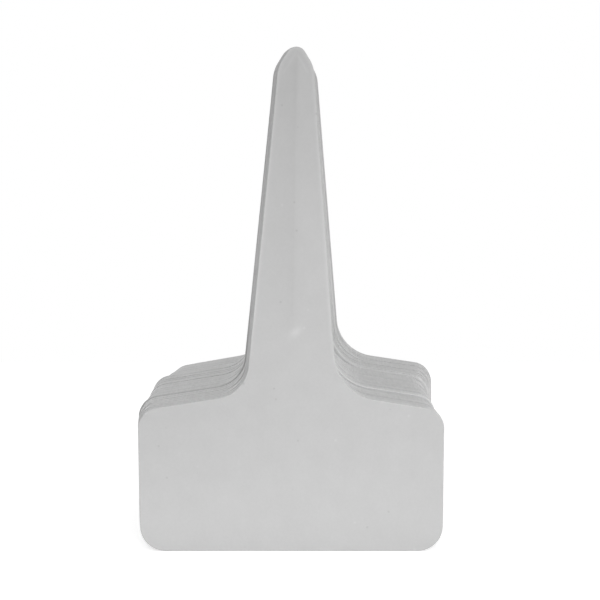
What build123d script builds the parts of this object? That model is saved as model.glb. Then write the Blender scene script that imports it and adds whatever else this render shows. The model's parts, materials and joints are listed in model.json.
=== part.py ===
from build123d import *
import os
from math import cos, radians, sin, tan

# A standing pack of loose T-shaped plant labels, all cut from the same sheet.
# X runs across the heads, Y from the front label to the rear one, Z up to the stake tips.
# The pack stands on the long straight edges, with its origin under its middle.

# Outline of one label, millimetres and degrees
label_length = 98.4           # straight edge to tip of the stake
head_width = 60.0
head_side_height = 28.4       # straight edge to the crossing of side and shoulder
bottom_corner_radius = 5.0
shoulder_slope = 9.3          # rise of the shoulder towards the stake
shoulder_corner_radius = 4.2
stake_root_width = 17.8       # across the stake at its crossing with the shoulders
root_fillet_radius = 9.3
stake_tip_width = 6.8         # across the stake where its sides cross those of the point
stake_tilt = 0.85             # stake to +X, off square to the head
point_half_angle = 31.7       # each side of the point, from the stake's middle line
point_corner_radius = 6.5     # stake side into point
nose_radius = 1.95

# Shallow roof-shaped rib pressed along the stake, raised in front and hollow behind
rib_slope = 2.0               # tilt of each half of the rib
rib_margin = 0.9              # flat strip left beside the rib
rib_foot_height = 42.0        # lower end of the rib, where it runs out
rib_full_height = 52.0        # rib reaches its full width here
rib_head_drop = 5.4           # full width ends this far below the tip
rib_end_drop = 0.9            # rib runs out this far below the tip

# The pack: three handfuls set down one behind the other
pack_depth = 46.0
slip_clearance = 0.07         # air between a rib's crest and the flat back that slides past it
front_count = 8
middle_count = 15
rear_count = 10

# Sideways shift and lean to +X at the first and last label of each handful
front_shift = (0.65, -0.45)
front_lean = (-0.05, 0.25)
middle_shift = (0.1, -0.1)
middle_lean = (-0.3, 0.3)
rear_shift = (0.7, 3.05)
rear_lean = (-0.05, -0.7)

# Uneven squaring from label to label
shift_scatter = 0.12
lean_scatter = 0.06
shift_turn = 2.5              # radians between one label and the next
lean_turn = 4.1

# Places worked out from the sizes above
half_head = head_width / 2
root_half = stake_root_width / 2
tip_half = stake_tip_width / 2
root_height = head_side_height + (half_head - root_half) * tan(radians(shoulder_slope))
nose_setback = nose_radius / sin(radians(point_half_angle)) - nose_radius
apex_height = label_length + nose_setback
point_height = apex_height - tip_half / tan(radians(point_half_angle))


def stake_half_width(height):
    share = (height - root_height) / (point_height - root_height)
    return root_half + share * (tip_half - root_half)


def stake_middle(height):
    return (height - root_height) * tan(radians(stake_tilt))


rib_head_height = label_length - rib_head_drop
rib_end_height = label_length - rib_end_drop
rib_foot_half = stake_half_width(rib_full_height) - rib_margin
rib_head_half = stake_half_width(rib_head_height) - rib_margin
rib_rise = rib_foot_half * tan(radians(rib_slope))
label_count = front_count + middle_count + rear_count
middle_label = front_count + (middle_count + 1) // 2
label_step = pack_depth / label_count
sheet_thickness = label_step - rib_rise - slip_clearance


# Flat sheet with the T outline, front face at y = 0, counterclockwise from the lower right corner
def label_blank():
    corners = [
        (half_head, 0),
        (half_head, head_side_height),
        (root_half, root_height),
        (stake_middle(point_height) + tip_half, point_height),
        (stake_middle(apex_height), apex_height),
        (stake_middle(point_height) - tip_half, point_height),
        (-root_half, root_height),
        (-half_head, head_side_height),
        (-half_head, 0),
    ]
    radii = [bottom_corner_radius, shoulder_corner_radius, root_fillet_radius, point_corner_radius]
    outline = FilletPolyline(*corners, radius=radii + [nose_radius] + radii[::-1], close=True)
    return extrude(Plane.XZ * make_face(outline), amount=-sheet_thickness)


# Low roof on the front face: two long slopes meet in a crest and run out to a point at each end
def rib_roof():
    steepness = tan(radians(rib_slope))
    low_point = (0, 0, rib_foot_height)
    low_foot = (rib_foot_half, 0, rib_full_height)
    low_crest = (0, -rib_foot_half * steepness, rib_full_height)
    high_foot = (rib_head_half, 0, rib_head_height)
    high_crest = (0, -rib_head_half * steepness, rib_head_height)
    high_point = (0, 0, rib_end_height)
    facets = [
        (low_point, low_foot, low_crest),
        (low_foot, high_foot, high_crest, low_crest),
        (high_foot, high_point, high_crest),
        (low_point, low_crest, high_crest, high_point),
        (low_point, high_point, high_foot, low_foot),
    ]
    half = Solid(Shell([Face(Wire.make_polygon(facet)) for facet in facets]))
    return half + mirror(half, Plane.YZ)


# The roof follows the stake, raised in front and sunk into the back, so the sheet keeps its thickness
def pressed_label():
    along_stake = Pos(0, 0, root_height) * Rot(0, stake_tilt, 0) * Pos(0, 0, -root_height)
    roof = along_stake * rib_roof()
    return label_blank() + roof - Pos(0, sheet_thickness, 0) * roof


# Shift and lean of a label, run evenly through its handful and then scattered
def squaring(number):
    first = 1
    handfuls = [
        (front_count, front_shift, front_lean),
        (middle_count, middle_shift, middle_lean),
        (rear_count, rear_shift, rear_lean),
    ]
    for count, shift_ends, lean_ends in handfuls:
        if number < first + count:
            share = (number - first) / max(count - 1, 1)
            shift = shift_ends[0] + share * (shift_ends[1] - shift_ends[0])
            lean = lean_ends[0] + share * (lean_ends[1] - lean_ends[0])
            break
        first += count
    from_middle = number - middle_label
    shift += shift_scatter * sin(shift_turn * from_middle)
    lean += lean_scatter * sin(lean_turn * from_middle)
    return shift, lean


# A leaning label stands on the lower of its rounded bottom corners
def standing_lift(lean):
    turn = radians(abs(lean))
    flat_half = half_head - bottom_corner_radius
    return flat_half * sin(turn) + bottom_corner_radius * (1 - cos(turn))


def pack_of_labels():
    label = pressed_label()
    first_face = rib_rise - (pack_depth - slip_clearance) / 2
    placed = {}
    for number in range(1, label_count + 1):
        shift, lean = squaring(number)
        front_face = first_face + (number - 1) * label_step
        place = Pos(shift, front_face, standing_lift(lean)) * Rot(0, lean, 0)
        placed[f"label_{number:02d}"] = place * label
    reach = Compound(list(placed.values())).bounding_box()
    middle = Pos(-(reach.min.X + reach.max.X) / 2, 0, 0)
    return {name: middle * label for name, label in placed.items()}


os.makedirs("parts", exist_ok=True)
pack = pack_of_labels()
for name, label in pack.items():
    export_step(label, f"parts/{name}.step")
print(f"{len(pack)} labels of {sheet_thickness:.3f} mm sheet, {label_step:.3f} mm apart")
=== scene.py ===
import json
import math
import bpy
import numpy as np
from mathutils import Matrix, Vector

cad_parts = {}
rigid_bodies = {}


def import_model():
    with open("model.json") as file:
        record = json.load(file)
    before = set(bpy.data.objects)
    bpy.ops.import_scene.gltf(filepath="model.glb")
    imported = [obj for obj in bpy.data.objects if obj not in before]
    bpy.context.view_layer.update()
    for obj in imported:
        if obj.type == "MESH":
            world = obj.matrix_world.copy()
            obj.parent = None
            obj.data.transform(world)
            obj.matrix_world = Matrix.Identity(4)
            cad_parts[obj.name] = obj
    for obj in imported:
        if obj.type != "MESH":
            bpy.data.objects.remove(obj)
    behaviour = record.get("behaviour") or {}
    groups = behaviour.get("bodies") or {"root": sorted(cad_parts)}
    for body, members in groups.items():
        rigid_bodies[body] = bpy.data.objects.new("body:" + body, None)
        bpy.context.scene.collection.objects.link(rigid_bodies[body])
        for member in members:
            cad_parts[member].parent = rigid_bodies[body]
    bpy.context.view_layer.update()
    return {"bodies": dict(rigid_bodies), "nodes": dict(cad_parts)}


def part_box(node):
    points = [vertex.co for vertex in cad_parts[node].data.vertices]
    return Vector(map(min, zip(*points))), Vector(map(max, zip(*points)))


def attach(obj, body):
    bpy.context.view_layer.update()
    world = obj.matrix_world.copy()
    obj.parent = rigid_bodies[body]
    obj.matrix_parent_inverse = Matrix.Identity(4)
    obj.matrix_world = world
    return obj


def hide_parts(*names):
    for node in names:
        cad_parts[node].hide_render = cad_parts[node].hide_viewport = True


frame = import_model()
scene = bpy.context.scene
scene.view_settings.view_transform = "Standard"

# One label, in metres and degrees. All of them are cut and pressed alike.
labelSheet = {
    "length": 0.0984,
    "headWidth": 0.060,
    "sideHeight": 0.0284,      # straight edge to the crossing of side and shoulder
    "bottomRadius": 0.005,
    "shoulderSlope": 9.3,
    "shoulderRadius": 0.0042,
    "rootWidth": 0.0178,       # stake at its crossing with the shoulders
    "rootRadius": {-1: 0.0070, 1: 0.0093},  # left, tighter in the photograph than on the solids, and right
    "tipWidth": 0.0068,        # stake at its crossing with the point
    "stakeTilt": 0.85,         # stake to +X, off square to the head
    "pointAngle": 31.7,        # each side of the point, from the middle line
    "pointRadius": 0.0065,
    "noseRadius": 0.00195,
    "ribSlope": 2.0,
    "ribMargin": 0.0009,       # flat strip beside the rib
    "ribFoot": 0.042,          # lower end of the rib, where it runs out
    "ribFull": 0.052,
    "ribHeadDrop": 0.0054,
    "ribEndDrop": 0.0009,
    "crestSoftness": 0.0003,   # half width of the rounding on the rib's crest
    "footSoftness": 0.00025,   # and where it meets the flat sheet
    "rollRadius": 0.00016,     # front edge, drawn in by the cutting die
    "burrRadius": 0.00007,
    "burrHeight": 0.00013,     # back edge, pushed out by it
    "burrWidth": 0.0004,
    "burrBare": (0.008, 0.005),  # none this near the middle line, where the next rib slides by, and its fade
    "burrTop": (0.094, 0.030),   # none above this height, and its fade
    "hold": 0.00005,           # narrow flat strip that keeps the shading of the faces flat
    "arcSteps": 11,
    "runRows": (6, 6, 6, 80, 3),  # rows along each straight run
    "ribColumns": 10,
    "columnCrowding": 1.4,     # columns crowd towards the crest
    "headPull": 0.12,          # spacing of the rows on the head's middle line, as a share of the outline's
    "tipPull": 0.1,            # and near the tip
    "frontColumns": 3,         # across the margin
    "backColumns": 6,
    "rimSteps": 4,
    "edgeHighlight": (0.12, 0.0009),            # painted highlight along the stake's cut edge: its rise in tone, and its width
    "edgeFrom": (0.036, 0.010),            # height where that starts, and the length of its fade
    "endHighlight": (0.14, 0.0012, 0.0007),     # painted highlight, an oblong mark at the rib's low end: its rise in tone, half length and half width
    "endPlace": (0.0007, 0.0021, 37),      # its place across and above that end, and its slant
    "hipHighlight": (0.06, 0.00025),            # painted highlight along the rib's upper hips
    "crestShade": (0.030, 0.00045, 0.012),  # painted shade along the crest near the tip: its fall in tone, its width and its fade
    "flankShade": (0.040, 0.0018, 0.0003),  # painted shade on the left of the crest: its fall in tone, its width there and to the right
    "rimStrip": 0.0005,                    # strip of the front face that takes the painted shade and highlights of the cut edge where handfuls meet
}


# Arc between two straight runs: its first and last radius are blended by angle.
def roundedCorner(before, corner, after, radius, steps):
    toBefore = (before - corner) / np.linalg.norm(before - corner)
    toAfter = (after - corner) / np.linalg.norm(after - corner)
    half = np.arccos(toBefore @ toAfter) / 2
    inward = (toBefore + toAfter) / np.linalg.norm(toBefore + toAfter)
    centre = corner + inward * radius / np.sin(half)
    first = corner + toBefore * radius / np.tan(half) - centre
    last = corner + toAfter * radius / np.tan(half) - centre
    turn = np.pi - 2 * half
    share = np.linspace(0, 1, steps)[:, None]
    return centre + (np.sin((1 - share) * turn) * first + np.sin(share * turn) * last) / np.sin(turn)


# Heights and half widths that follow from the sizes above
def labelPlaces(s):
    half, rootHalf, tipHalf = s["headWidth"] / 2, s["rootWidth"] / 2, s["tipWidth"] / 2
    pointAngle = math.radians(s["pointAngle"])
    rootHeight = s["sideHeight"] + (half - rootHalf) * math.tan(math.radians(s["shoulderSlope"]))
    apexHeight = s["length"] + s["noseRadius"] / math.sin(pointAngle) - s["noseRadius"]
    pointHeight = apexHeight - tipHalf / math.tan(pointAngle)
    return half, rootHalf, tipHalf, rootHeight, apexHeight, pointHeight


# Half of the outline, from the middle of the straight edge up to the tip: straight runs joined by arcs.
# The left half, side -1, is drawn as a right half with the tilt reversed and then mirrored.
def halfOutline(s, side):
    half, rootHalf, tipHalf, rootHeight, apexHeight, pointHeight = labelPlaces(s)
    tilt = side * math.tan(math.radians(s["stakeTilt"]))
    atPoint, atApex = tilt * (pointHeight - rootHeight), tilt * (apexHeight - rootHeight)
    corners = np.array([
        (0, 0), (half, 0), (half, s["sideHeight"]), (rootHalf, rootHeight),
        (atPoint + tipHalf, pointHeight), (atApex, apexHeight), (atPoint - tipHalf, pointHeight),
    ])
    radii = [s["bottomRadius"], s["shoulderRadius"], s["rootRadius"][side], s["pointRadius"], s["noseRadius"]]
    arcs = [roundedCorner(*corners[i:i + 3], r, s["arcSteps"]) for i, r in enumerate(radii)]
    arcs[-1] = arcs[-1][:s["arcSteps"] // 2 + 1]  # the nose ends at the tip
    line = [corners[:1]]
    for arc, rows in zip(arcs, s["runRows"]):
        start = line[-1][-1]
        line.append(start + (arc[0] - start) * np.linspace(0, 1, rows + 1)[1:-1, None])
        line.append(arc)
    return np.concatenate(line) * (side, 1)


# Place across and along the stake, and the distance inside the rib's own kite-shaped outline
def ribPlace(x, z, s):
    _, rootHalf, tipHalf, rootHeight, _, pointHeight = labelPlaces(s)
    lean, up = math.sin(math.radians(s["stakeTilt"])), math.cos(math.radians(s["stakeTilt"]))
    across, along = x * up - (z - rootHeight) * lean, rootHeight + x * lean + (z - rootHeight) * up
    taper = (tipHalf - rootHalf) / (pointHeight - rootHeight)
    headAt, endAt = s["length"] - s["ribHeadDrop"], s["length"] - s["ribEndDrop"]
    lowHalf, highHalf = (rootHalf + (h - rootHeight) * taper - s["ribMargin"] for h in (s["ribFull"], headAt))
    side = rootHalf + (along - rootHeight) * taper - s["ribMargin"]
    lowEnd = lowHalf * (along - s["ribFoot"]) / (s["ribFull"] - s["ribFoot"])
    highEnd = highHalf * (endAt - along) / (endAt - headAt)
    inside = np.minimum(np.minimum(side, lowEnd), highEnd) - np.hypot(across, s["crestSoftness"])
    return across, along, inside


# Height of the pressed rib over the sheet: slope times that distance, with the crest and the foot rounded by
# hyperbolas
def ribHeight(x, z, s):
    inside = ribPlace(x, z, s)[2]
    return math.tan(math.radians(s["ribSlope"])) * (inside + np.hypot(inside, s["footSoftness"])) / 2


# Rise from 0 to 1 with level ends: three times the square less twice the cube
def smoothStep(value):
    value = np.clip(value, 0, 1)
    return value * value * (3 - 2 * value)


# Painted light and shade on the sheet: painted highlights in a fading strip along the cut edge and as bell
# curves at the rib's ends, and painted shade as a bell curve on its crest and a fall away from the crest that
# is longer on the left
def paintedShading(x, z, away, s):
    across, along, inside = ribPlace(x, z, s)
    edge, edgeWidth = s["edgeHighlight"]
    edgeLow, edgeFade = s["edgeFrom"]
    end, endLong, endWide = s["endHighlight"]
    endAcross, endAbove, endSlant = s["endPlace"]
    hip, hipWidth = s["hipHighlight"]
    crest, crestWidth, crestFade = s["crestShade"]
    flank, flankWidth, flankStep = s["flankShade"]
    headAt, endAt = s["length"] - s["ribHeadDrop"], s["length"] - s["ribEndDrop"]
    nearHead = smoothStep((along - headAt) / s["ribEndDrop"]) * smoothStep((endAt - along) / s["ribEndDrop"])
    nearTip = smoothStep((along - headAt) / crestFade + 1) * smoothStep((endAt - along) / s["ribEndDrop"])
    atEdge = edge * smoothStep(1 - away / edgeWidth) * smoothStep((along - edgeLow) / edgeFade)
    slantX, slantZ = math.cos(math.radians(endSlant)), math.sin(math.radians(endSlant))
    fromX, fromZ = across - endAcross, along - s["ribFoot"] - endAbove
    lengthways, sideways = fromX * slantX + fromZ * slantZ, fromZ * slantX - fromX * slantZ
    atEnd = end * np.exp(-(lengthways / endLong) ** 2 - (sideways / endWide) ** 2)
    atHips = hip * np.exp(-(inside / hipWidth) ** 2) * nearHead
    onCrest = crest * np.exp(-(across / crestWidth) ** 2) * nearTip
    fromCrest = np.exp(-np.abs(across) / np.where(across < 0, flankWidth, flankStep))
    upRib = smoothStep((along - s["ribFoot"]) / (s["ribFull"] - s["ribFoot"]))
    upRib = upRib * smoothStep((endAt - along) / s["ribHeadDrop"])
    onFlank = flank * fromCrest * upRib
    return 1 + atEdge + atEnd + atHips - onCrest - onFlank


# Share of the burr along the outline: full on the sides, none at the tip and half way along the straight edge
def burrShare(loop, s):
    below = smoothStep((s["burrTop"][0] - loop[:, 1]) / s["burrTop"][1])
    beside = smoothStep((np.abs(loop[:, 0]) - s["burrBare"][0]) / s["burrBare"][1])
    return below * np.where(loop[:, 1] < s["bottomRadius"], beside, 1)


# Closed skin of one label: each outline point is joined to the middle line of the front, and over the
# rim to the middle line of the back. Left and right share the points on the middle lines.
def labelSkin(s, thickness):
    right, left = halfOutline(s, 1), halfOutline(s, -1)
    count = len(right)
    loop = np.concatenate([right, left[-2:0:-1]])
    before = loop - np.roll(loop, 1, axis=0)
    after = np.roll(loop, -1, axis=0) - loop
    along = before / np.linalg.norm(before, axis=1)[:, None] + after / np.linalg.norm(after, axis=1)[:, None]
    along /= np.linalg.norm(along, axis=1)[:, None]
    outward = np.stack([along[:, 1], -along[:, 0]], axis=1)

    # middle line: level with its outline point on the stake, drawn together in the head and at the tip
    length = np.concatenate([[0], np.cumsum(np.linalg.norm(np.diff(right, axis=0), axis=1))])
    level = np.maximum(right[:, 1], s["sideHeight"] / 2 + s["headPull"] * length)
    level = np.minimum(level, s["length"] - 2 * s["noseRadius"] + s["tipPull"] * (length - length[-1]))
    mirrored = np.concatenate([np.arange(count), np.arange(count - 2, 0, -1)])
    rootHeight = labelPlaces(s)[3]
    aside = np.maximum(level - rootHeight, 0) * math.tan(math.radians(s["stakeTilt"]))
    middle = np.stack([aside, level], axis=1)[mirrored]

    # a face: even columns out to the margin, then columns square to the outline
    def faceColumns(edge, columns):
        inner = np.linspace(0, 1, s["ribColumns"] + 1)[None, :-1, None] ** s["columnCrowding"]
        foot = loop - outward * s["ribMargin"]
        away = np.linspace(s["ribMargin"], edge, columns + 1)
        face = middle[:, None] + inner * (foot - middle)[:, None]
        face = np.concatenate([face, loop[:, None] - outward[:, None] * away[None, :, None]], axis=1)
        away = np.concatenate([np.full(s["ribColumns"], s["ribMargin"]), away])
        return face, away, ribHeight(face[:, :, 0], face[:, :, 1], s)

    front, frontAway, frontRib = faceColumns(s["rollRadius"] + s["hold"], s["frontColumns"])
    back, backAway, backRib = faceColumns(s["burrRadius"] + s["hold"], s["backColumns"])
    burr = s["burrHeight"] * burrShare(loop, s)[:, None]
    backDepth = thickness - backRib + burr * smoothStep(1 - (backAway - s["hold"]) / s["burrWidth"])

    # rim: a quarter round at each face and the straight cut between them, carried along the outline
    turn = np.linspace(0, np.pi / 2, s["rimSteps"] + 1)
    out = np.concatenate([s["rollRadius"] * (np.sin(turn) - 1), s["burrRadius"] * (np.cos(turn) - 1)])
    rim = loop[:, None] + outward[:, None] * out[None, :, None]
    rolled = np.broadcast_to(s["rollRadius"] * (1 - np.cos(turn)), (len(loop), len(turn)))
    pushed = thickness + burr - s["burrRadius"] * (1 - np.sin(turn))
    frontRise = np.repeat(frontRib[:, -1:], len(turn), axis=1)
    backRise = np.repeat(backRib[:, -1:], len(turn), axis=1)

    flat = np.concatenate([front, rim, back[:, ::-1]], axis=1)
    depth = np.concatenate([-frontRib, rolled - frontRise, pushed - backRise, backDepth[:, ::-1]], axis=1)
    onRim = np.zeros(depth.shape)
    onRim[:, front.shape[1]:front.shape[1] + rim.shape[1]] = 1
    toneFront = paintedShading(front[:, :, 0], front[:, :, 1], frontAway, s)
    toneBack = paintedShading(back[:, :, 0], back[:, :, 1], backAway, s)
    tones = np.concatenate([toneFront, np.ones(rim.shape[:2]), toneBack[:, ::-1]], axis=1)
    byRim = onRim.copy()
    byRim[:, :front.shape[1]] = smoothStep(1 - (frontAway - s["rollRadius"] - s["hold"]) / s["rimStrip"])

    # numbering: the two middle lines first, then the columns between them
    across = flat.shape[1]
    number = np.empty((len(loop), across), int)
    number[:, 0] = mirrored
    number[:, -1] = count + mirrored
    number[:, 1:-1] = 2 * count + np.arange(len(loop) * (across - 2)).reshape(len(loop), -1)
    points = np.empty((number.max() + 1, 3))
    points[number.ravel()] = np.stack([flat[:, :, 0], depth, flat[:, :, 1]], axis=2).reshape(-1, 3)
    cut, tone, nearRim = np.empty((3, len(points)))
    cut[number.ravel()] = onRim.ravel()
    tone[number.ravel()] = tones.ravel()
    nearRim[number.ravel()] = byRim.ravel()
    ahead = np.roll(number, -1, axis=0)
    quads = np.stack([number[:, :-1], ahead[:, :-1], ahead[:, 1:], number[:, 1:]], axis=2).reshape(-1, 4)
    return points, quads, {"cutRim": cut, "paintedShading": tone}, nearRim


# Middle of a label in the front view and the angle of its long axis, from the area moments of its
# triangles, which cover the outline once in front and once behind.
def outlineMiddle(node):
    mesh = node.data
    mesh.calc_loop_triangles()
    corners = np.empty(len(mesh.vertices) * 3)
    mesh.vertices.foreach_get("co", corners)
    picks = np.empty(len(mesh.loop_triangles) * 3, int)
    mesh.loop_triangles.foreach_get("vertices", picks)
    flat = corners.reshape(-1, 3)[picks.reshape(-1, 3)][:, :, [0, 2]]
    first, second = flat[:, 1] - flat[:, 0], flat[:, 2] - flat[:, 0]
    area = np.abs(first[:, 0] * second[:, 1] - first[:, 1] * second[:, 0])
    area /= area.sum()
    middle = area @ flat.mean(axis=1)
    flat = flat - middle
    total = flat.sum(axis=1)
    spread = np.einsum("t,tki,tkj->ij", area, flat, flat) + np.einsum("t,ti,tj->ij", area, total, total)
    across = np.linalg.eigh(spread)[1][:, 1]
    return middle, math.atan(across[0] / across[1])


# Where a label stands, against the one that stands square
def labelStand(node, square):
    middle, angle = outlineMiddle(node)
    squareMiddle, squareAngle = outlineMiddle(square)
    lowest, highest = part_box(square.name)
    down = np.array([(lowest[0] + highest[0]) / 2, lowest[2]]) - squareMiddle
    lean, up = math.sin(angle - squareAngle), math.cos(angle - squareAngle)
    foot = middle + np.array([down[0] * up + down[1] * lean, down[1] * up - down[0] * lean])
    return foot, (lean, up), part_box(node.name)[0][1]


# The skin turned by a label's lean, set on its foot behind the front of its box, and put into a mesh
def makeLabel(name, node, square, points, quads, marks, ribRise):
    foot, up, frontmost = labelStand(node, square)
    placed = np.empty_like(points)
    placed[:, 0] = foot[0] + points[:, 0] * up[1] + points[:, 2] * up[0]
    placed[:, 1] = frontmost + ribRise + points[:, 1]
    placed[:, 2] = foot[1] - points[:, 0] * up[0] + points[:, 2] * up[1]
    mesh = bpy.data.meshes.new(name)
    mesh.vertices.add(len(placed))
    mesh.vertices.foreach_set("co", placed.ravel())
    mesh.loops.add(quads.size)
    mesh.loops.foreach_set("vertex_index", quads.ravel())
    mesh.polygons.add(len(quads))
    mesh.polygons.foreach_set("loop_start", np.arange(0, quads.size, 4))
    mesh.polygons.foreach_set("use_smooth", np.ones(len(quads), bool))
    for mark, values in marks.items():
        mesh.attributes.new(mark, "FLOAT", "POINT").data.foreach_set("value", values)
    mesh.update(calc_edges=True)
    label = bpy.data.objects.new(name, mesh)
    scene.collection.objects.link(label)
    return label


# Where one handful meets the next: painted shade on an edge of the left shoulder, or a painted highlight on
# an edge of the right one
handfulMeet = {
    "low": (0.020, 0.006),   # none below this height, and its fade
    "high": (0.050, 0.012),  # none above this height, and its fade
    "inner": 0.004,          # fade from the middle line
    "edges": {"label_08": (-1, 0.76), "label_09": (1, 1.18), "label_24": (1, 1.15)},  # side, and tone: below one is painted shade, above one a painted highlight
}


# Painted shade and highlight of such an edge, faded in and out by height and away from the middle line
def meetPaintedShading(points, nearRim, meet, side, tone):
    above = smoothStep((points[:, 2] - meet["low"][0]) / meet["low"][1])
    below = smoothStep((meet["high"][0] - points[:, 2]) / meet["high"][1])
    share = nearRim * above * below * smoothStep(side * points[:, 0] / meet["inner"])
    return 1 + (tone - 1) * share


# Matte grey sheet with soft clouds, fine grain and a few specks. On the cut edge each label has its own tone,
# and the marks of the die run across it.
plasticLook = {
    "grey": 0.57,
    "roughness": 0.5,
    "cloud": {"scale": (230, 230, 230), "detail": 3, "depth": 0.02},
    "grain": {"scale": (1900, 1900, 1900), "detail": 2, "depth": 0.015},
    "edgeTone": {"scale": (45, 800, 45), "detail": 2, "depth": 0.10},
    "edgeMarks": {"scale": (2400, 260, 2400), "detail": 2, "depth": 0.06},
    "darkSpeck": {"scale": 260, "inner": 0.02, "outer": 0.08, "tone": 0.86},
    "paleSpeck": {"scale": 200, "inner": 0.02, "outer": 0.08, "tone": 1.08},
    "grainHeight": 0.000004,
    "noiseRange": (0.25, 0.75),  # what the noise mostly gives
}


def labelPlastic(look):
    material = bpy.data.materials.new("labelPlastic")
    material.use_nodes = True
    nodes, links = material.node_tree.nodes, material.node_tree.links
    shader = nodes["Principled BSDF"]
    shader.inputs["Roughness"].default_value = look["roughness"]
    place = nodes.new("ShaderNodeTexCoord").outputs["Object"]

    def ranged(value, low, high, toLow, toHigh):
        node = nodes.new("ShaderNodeMapRange")
        for name, limit in (("From Min", low), ("From Max", high), ("To Min", toLow), ("To Max", toHigh)):
            node.inputs[name].default_value = limit
        links.new(value, node.inputs["Value"])
        return node.outputs["Result"]

    def noise(part):
        stretch = nodes.new("ShaderNodeMapping")
        stretch.inputs["Scale"].default_value = part["scale"]
        links.new(place, stretch.inputs["Vector"])
        node = nodes.new("ShaderNodeTexNoise")
        node.inputs["Scale"].default_value = 1
        node.inputs["Detail"].default_value = part["detail"]
        links.new(stretch.outputs["Vector"], node.inputs["Vector"])
        return node.outputs["Fac"]

    def varied(fac, middle, depth):
        return ranged(fac, *look["noiseRange"], middle - depth, middle + depth)

    def speck(part):
        node = nodes.new("ShaderNodeTexVoronoi")
        node.inputs["Scale"].default_value = part["scale"]
        links.new(place, node.inputs["Vector"])
        return ranged(node.outputs["Distance"], part["inner"], part["outer"], part["tone"], 1)

    def mark(name):
        node = nodes.new("ShaderNodeAttribute")
        node.attribute_name = name
        return node.outputs["Fac"]

    def product(first, second):
        node = nodes.new("ShaderNodeMath")
        node.operation = "MULTIPLY"
        links.new(first, node.inputs[0])
        links.new(second, node.inputs[1])
        return node.outputs["Value"]

    grain = noise(look["grain"])
    tone = varied(grain, look["grey"], look["grey"] * look["grain"]["depth"])
    tone = product(tone, varied(noise(look["cloud"]), 1, look["cloud"]["depth"]))
    tone = product(tone, product(speck(look["darkSpeck"]), speck(look["paleSpeck"])))
    # painted highlights and shade of the rib, cut edge and handful edges, multiplied into the colour
    tone = product(tone, mark("paintedShading"))
    for part in (look["edgeTone"], look["edgeMarks"]):
        change = product(varied(noise(part), 0, part["depth"]), mark("cutRim"))
        tone = product(tone, ranged(change, -1, 1, 0, 2))  # one plus the change
    links.new(tone, shader.inputs["Base Color"])
    bump = nodes.new("ShaderNodeBump")
    bump.inputs["Distance"].default_value = look["grainHeight"]
    links.new(grain, bump.inputs["Height"])
    links.new(bump.outputs["Normal"], shader.inputs["Normal"])
    return material


# The solids' rib is sharp: its rise gives the place of the front face and the thickness of the sheet
sharpRib = dict(labelSheet, crestSoftness=0, footSoftness=0, stakeTilt=0)
ribRise = float(ribHeight(0.0, labelSheet["ribFull"], sharpRib))
lowest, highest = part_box("label_01")
sheetThickness = highest[1] - lowest[1] - ribRise
points, quads, plainMarks, nearRim = labelSkin(labelSheet, sheetThickness)
plastic = labelPlastic(plasticLook)
squareLabel = frame["nodes"]["label_16"]
for body in sorted(frame["bodies"]):
    marks = dict(plainMarks)
    if body in handfulMeet["edges"]:
        side, tone = handfulMeet["edges"][body]
        # paint the shade or highlight of a handful's edge onto this label
        marks["paintedShading"] = marks["paintedShading"] * meetPaintedShading(points, nearRim, handfulMeet, side, tone)
    name = body.replace("label", "labelSheet")
    label = makeLabel(name, frame["nodes"][body], squareLabel, points, quads, marks, ribRise)
    label.data.materials.append(plastic)
    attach(label, body)
    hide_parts(body)
print("sheet", round(sheetThickness * 1000, 3), "mm")


# One value for rays that light the labels, another for rays that see the background
def seenRays(nodes, links, lighting, seen):
    rays = nodes.new("ShaderNodeLightPath")
    direct = rays.outputs["Is Camera Ray"]
    for kind in ("Is Glossy Ray", "Is Transmission Ray"):
        either = nodes.new("ShaderNodeMath")
        either.operation = "MAXIMUM"
        links.new(direct, either.inputs[0])
        links.new(rays.outputs[kind], either.inputs[1])
        direct = either.outputs["Value"]
    value = nodes.new("ShaderNodeMapRange")
    value.inputs["To Min"].default_value = lighting
    value.inputs["To Max"].default_value = seen
    links.new(direct, value.inputs["Value"])
    return value.outputs["Result"]


# Plain white floor, which keeps the shadow
floorLook = {"size": 0.36, "white": 0.9, "roughness": 0.9, "seenGlow": 0.45}


def plainFloor(look):
    side = look["size"] / 2
    mesh = bpy.data.meshes.new("floor")
    corners = [(-side, -side, 0), (side, -side, 0), (side, side, 0), (-side, side, 0)]
    mesh.from_pydata(corners, [], [(0, 1, 2, 3)])
    floor = bpy.data.objects.new("floor", mesh)
    scene.collection.objects.link(floor)
    material = bpy.data.materials.new("floorWhite")
    material.use_nodes = True
    nodes, links = material.node_tree.nodes, material.node_tree.links
    shader = nodes["Principled BSDF"]
    shader.inputs["Base Color"].default_value = (look["white"],) * 3 + (1,)
    shader.inputs["Roughness"].default_value = look["roughness"]
    shader.inputs["Specular IOR Level"].default_value = 0
    shader.inputs["Emission Color"].default_value = (1, 1, 1, 1)
    links.new(seenRays(nodes, links, 0, look["seenGlow"]), shader.inputs["Emission Strength"])
    mesh.materials.append(material)


plainFloor(floorLook)
print("floor laid")

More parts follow.
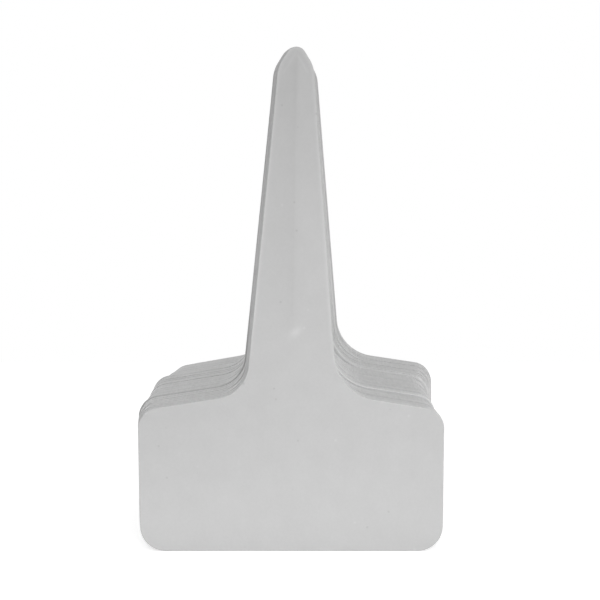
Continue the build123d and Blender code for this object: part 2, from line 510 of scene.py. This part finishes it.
# Soft studio light: a white surround, a broad lamp far in front, a strip at each side, a small one before the
# stakes and a thin strip low before the heads, like the glow of a white table
studioLight = {
    "above": 0.70,
    "below": 0.0,
    "horizon": 0.05,  # half of the fade between them
    "lamps": {
        "frontLamp": {
            "at": (0.22, -0.93, 0.11), "aim": (0, 0, 0.04),
            "size": (0.5, 0.3), "watts": 1.36,
        },
        "rightLamp": {
            "at": (0.25, 0.01, 0.01), "aim": (0.03, 0.01, 0.01),
            "size": (0.2, 0.012), "watts": 0.16,
        },
        "leftLamp": {
            "at": (-0.25, 0.01, 0.05), "aim": (-0.03, 0.01, 0.05),
            "size": (0.2, 0.012), "watts": 0.065,
        },
        "stakeLamp": {
            "at": (0.02, -0.12, 0.05), "aim": (0, -0.0227, 0.05),
            "size": (0.1, 0.02), "watts": 0.0172,
        },
        "headLamp": {
            "at": (-0.012, -0.043, 0.003), "aim": (-0.01, -0.0227, 0.003),
            "size": (0.12, 0.004), "watts": 0.0010,
        },
    },
}


def softLamp(name, lamp):
    data = bpy.data.lights.new(name, "AREA")
    data.shape = "RECTANGLE"
    data.size, data.size_y = lamp["size"]
    data.energy = lamp["watts"]
    light = bpy.data.objects.new(name, data)
    light.location = lamp["at"]
    light.rotation_mode = "QUATERNION"
    light.rotation_quaternion = (Vector(lamp["aim"]) - Vector(lamp["at"])).to_track_quat("-Z", "Y")
    light.visible_camera = False
    scene.collection.objects.link(light)


# Bright above the level of the floor and dark below it, and plain white where it is seen
def whiteSurround(look):
    world = bpy.data.worlds.new("surround")
    world.use_nodes = True
    scene.world = world
    nodes, links = world.node_tree.nodes, world.node_tree.links
    background = nodes["Background"]
    background.inputs["Color"].default_value = (1, 1, 1, 1)
    towards = nodes.new("ShaderNodeTexCoord")
    parts = nodes.new("ShaderNodeSeparateXYZ")
    links.new(towards.outputs["Generated"], parts.inputs["Vector"])
    level = nodes.new("ShaderNodeMapRange")
    level.interpolation_type = "SMOOTHSTEP"
    level.inputs["From Min"].default_value = -look["horizon"]
    level.inputs["From Max"].default_value = look["horizon"]
    level.inputs["To Min"].default_value = look["below"]
    level.inputs["To Max"].default_value = look["above"]
    links.new(parts.outputs["Z"], level.inputs["Value"])
    value = seenRays(nodes, links, 0, 1)
    links.new(level.outputs["Result"], value.node.inputs["To Min"])
    links.new(value, background.inputs["Strength"])


whiteSurround(studioLight)
for name, lamp in studioLight["lamps"].items():
    softLamp(name, lamp)
print("light set")

# Camera fitted to the photograph's outline
photoView = {
    "focalPixels": 1242.8,
    "imagePixels": 600,
    "sensor": 36,
    "at": (0.001211, -0.26058, 0.08259),
    "downTilt": 7.724,
    "clip": (0.01, 20),
}


def photoCamera(v):
    data = bpy.data.cameras.new("photoCamera")
    data.sensor_width = v["sensor"]
    data.lens = v["focalPixels"] / v["imagePixels"] * v["sensor"]
    data.clip_start, data.clip_end = v["clip"]
    camera = bpy.data.objects.new("photoCamera", data)
    camera.location = v["at"]
    camera.rotation_euler = (math.radians(90 - v["downTilt"]), 0, 0)
    scene.collection.objects.link(camera)
    scene.camera = camera


photoCamera(photoView)
print("camera set")
